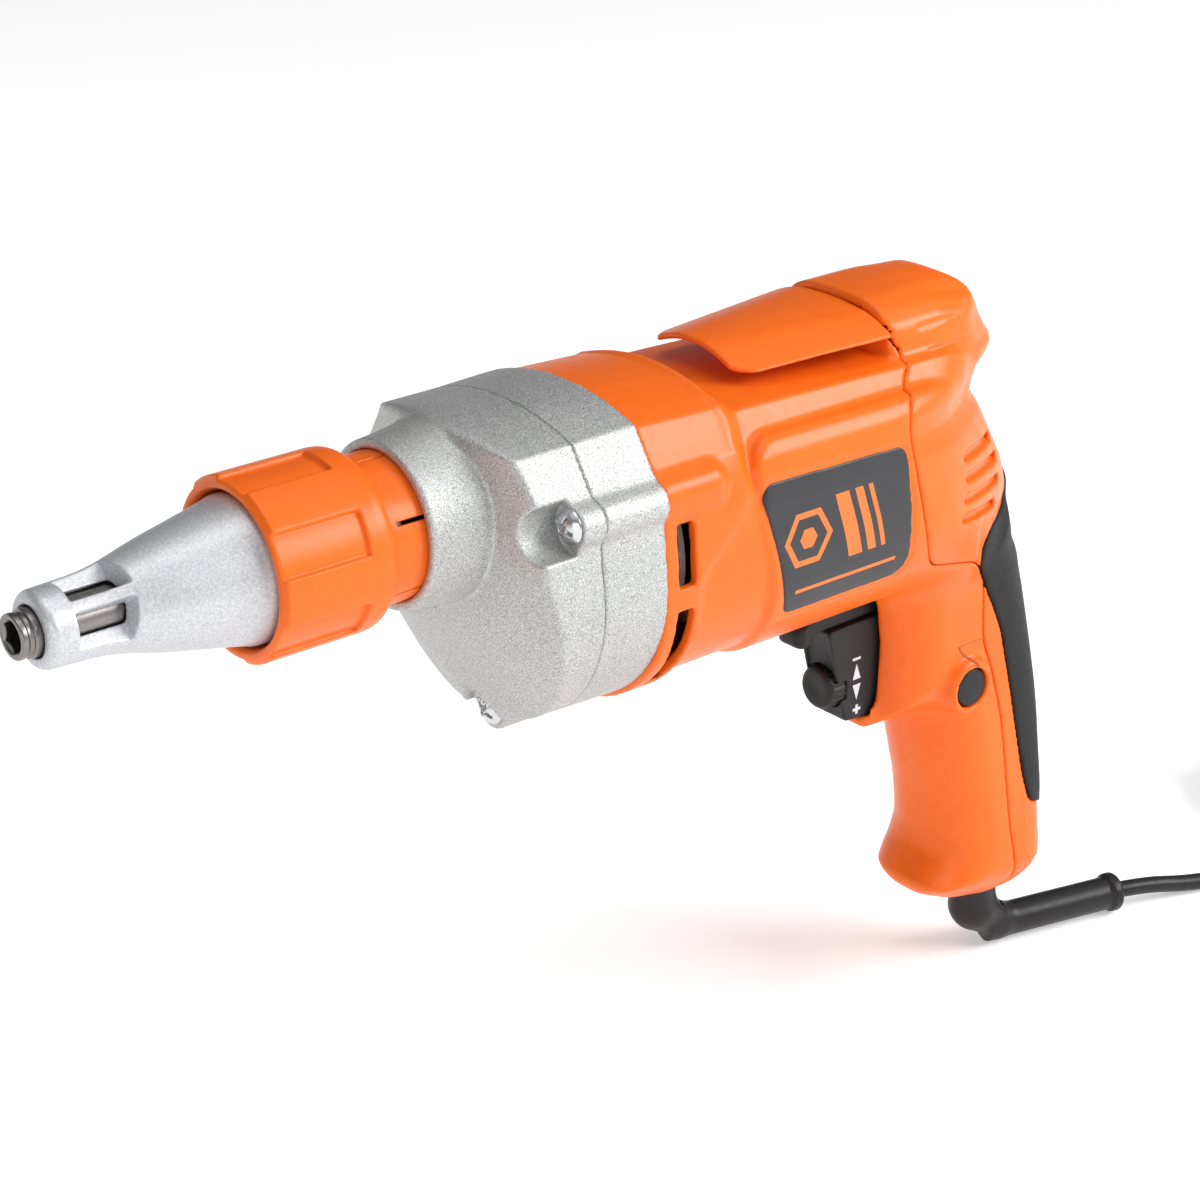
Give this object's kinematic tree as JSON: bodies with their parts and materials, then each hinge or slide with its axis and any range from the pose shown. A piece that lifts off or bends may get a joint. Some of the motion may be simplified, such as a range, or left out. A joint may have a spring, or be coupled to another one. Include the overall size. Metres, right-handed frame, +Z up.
{
  "type": "electric screwdriver",
  "caption": "Corded drywall screwdriver with a pull-off depth-setting nose, cast gear case, motor barrel with belt clip, trigger with speed wheel and a soft grip.",
  "frame": {"origin": "middle of the grip, where the palm holds the handle", "axes": "+X runs back from the nose along the spindle, +Z up, +Y to the right of a user looking along the barrel towards the nose"},
  "size_m": [0.5456, 0.0996, 0.2071],
  "materials": {
    "orange_plastic": "satin moulded",
    "cast_alloy": "sand cast, silver lacquer",
    "turned_alloy": "fine satin",
    "black_plastic": "fine texture",
    "black_rubber": "matt",
    "label_film": "satin printed film",
    "steel": "ground",
    "dark_steel": "blackened",
    "zinc_steel": "zinc plated",
    "bronze": "sintered",
    "copper": "lacquered wire",
    "carbon": "pressed carbon",
    "nylon": "moulded",
    "black_pvc": "satin",
    "plug_metal": "nickel plated"
  },
  "bodies": {
    "housing": {"spindle_bush": "bronze", "spindle_seal": "black_rubber", "gear_bearing": "steel", "motor_front_bearing": "steel", "motor_rear_bearing": "steel", "stator_core": "dark_steel", "field_coils": "copper", "brush_holders": "bronze", "carbon_brushes": "carbon", "brush_springs": "steel", "gear_cover": "cast_alloy", "inner_cover": "cast_alloy", "gear_case_screws": "zinc_steel", "motor_housing": "orange_plastic", "handle_cover": "orange_plastic", "rubber_grip": "black_rubber", "handle_cover_screws": "zinc_steel", "belt_clip": "orange_plastic", "side_plates": "label_film", "switch_body": "black_plastic", "trigger_spring": "steel", "reverse_pin": "black_plastic", "lock_spring": "steel", "capacitor": "nylon", "lead_clamp": "black_plastic", "lead_clamp_screws": "zinc_steel", "lead_sleeve": "black_pvc", "supply_lead": "black_pvc", "lead_coil": "black_pvc", "lead_tie": "black_plastic", "lead_tail": "black_pvc", "plug_body": "black_pvc", "plug_pins": "plug_metal"},
    "nose": {"depth_sleeve": "orange_plastic"},
    "collar": {"depth_collar": "orange_plastic"},
    "locator": {"locator_cone": "turned_alloy"},
    "thrust": {"thrust_washer": "steel"},
    "spindle": {"spindle": "steel", "bit_holder": "dark_steel", "bit_magnet": "steel"},
    "armature": {"armature_shaft": "steel", "cooling_fan": "nylon", "armature_core": "dark_steel", "armature_winding": "copper", "commutator": "copper"},
    "gear": {"drive_gear": "steel", "clutch_spring": "steel"},
    "trigger": {"trigger": "black_plastic"},
    "dial": {"speed_dial": "black_plastic"},
    "lever": {"reverse_lever": "black_plastic"},
    "button": {"lock_button": "black_plastic"}
  },
  "joints": [
    {"name": "nose_pull", "type": "slide", "parent": "housing", "child": "nose", "axis": [-1, 0, 0], "range_m": [0, 0.028]},
    {"name": "collar_turn", "type": "hinge", "parent": "nose", "child": "collar", "pos_m": [-0.219, 0, 0.11], "axis": [1, 0, 0], "range_deg": [-360, 360]},
    {"name": "locator_depth", "type": "slide", "parent": "nose", "child": "locator", "axis": [1, 0, 0], "range_m": [-0.002, 0.002]},
    {"name": "spindle_push", "type": "slide", "parent": "housing", "child": "thrust", "axis": [1, 0, 0], "range_m": [0, 0.003], "stiffness_N_per_m": 2000, "springref_m": -0.003, "deforming": ["clutch_spring"]},
    {"name": "spindle_spin", "type": "hinge", "parent": "thrust", "child": "spindle", "pos_m": [-0.198, 0, 0.11], "axis": [1, 0, 0], "continuous": true},
    {"name": "motor_spin", "type": "hinge", "parent": "housing", "child": "armature", "pos_m": [-0.108, 0, 0.092], "axis": [1, 0, 0], "continuous": true},
    {"name": "gear_spin", "type": "hinge", "parent": "housing", "child": "gear", "pos_m": [-0.158, 0, 0.11], "axis": [1, 0, 0], "continuous": true},
    {"name": "trigger_pull", "type": "slide", "parent": "housing", "child": "trigger", "axis": [1, 0, 0], "range_m": [0, 0.006], "stiffness_N_per_m": 800, "springref_m": -0.004, "deforming": ["trigger_spring"]},
    {"name": "dial_turn", "type": "hinge", "parent": "trigger", "child": "dial", "pos_m": [-0.058, 0, 0.0289], "axis": [1, 0, 0], "range_deg": [-150, 150]},
    {"name": "lever_swing", "type": "hinge", "parent": "housing", "child": "lever", "pos_m": [-0.0395, 0, 0.048], "axis": [0, 0, 1], "range_deg": [-15, 15]},
    {"name": "lock_press", "type": "slide", "parent": "housing", "child": "button", "axis": [0, 1, 0], "range_m": [0, 0.003], "stiffness_N_per_m": 500, "springref_m": -0.002, "deforming": ["lock_spring"]}
  ],
  "couplings": [
    {"joint": "locator_depth", "follows": "collar_turn", "m_per_rad": 0.000318},
    {"joint": "gear_spin", "follows": "motor_spin", "ratio": -0.2}
  ]
}
